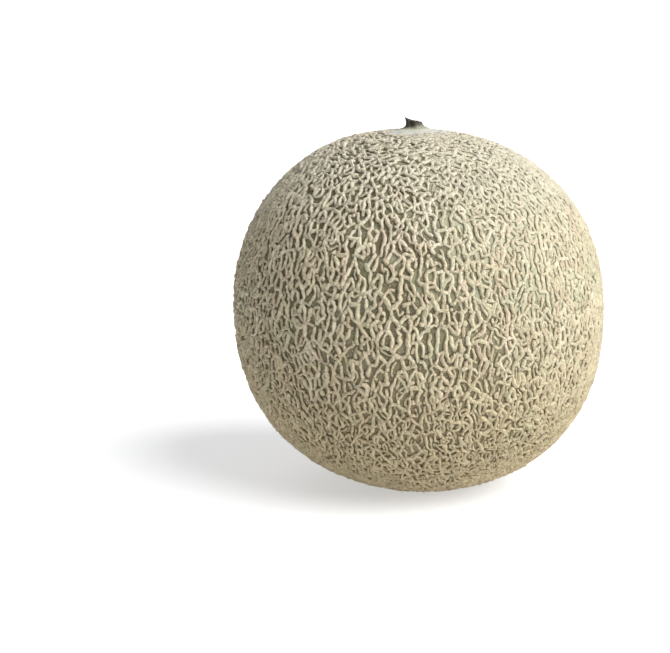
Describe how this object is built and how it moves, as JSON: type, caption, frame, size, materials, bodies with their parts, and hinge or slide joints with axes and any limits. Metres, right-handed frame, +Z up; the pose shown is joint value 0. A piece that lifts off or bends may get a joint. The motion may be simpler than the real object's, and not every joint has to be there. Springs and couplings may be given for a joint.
{
  "type": "netted melon",
  "caption": "Whole round netted melon: a nearly spherical fruit with a raised corky net over its green skin and the dry torn stub of its stem on top, standing on a small flat spot.",
  "frame": {"origin": "on the surface that the melon rests on, under the middle of its widest part, inside the flat spot at its blossom end", "axes": "+Z up through the fruit towards its stem; the stem end leans a little to -X; -Y is the side that the picture shows"},
  "size_m": [0.15, 0.15, 0.1498],
  "materials": {
    "netted_rind": "matte",
    "dry_stem": "matte"
  },
  "bodies": {
    "root": {"melon_fruit": "netted_rind", "melon_stem": "dry_stem"}
  },
  "joints": []
}
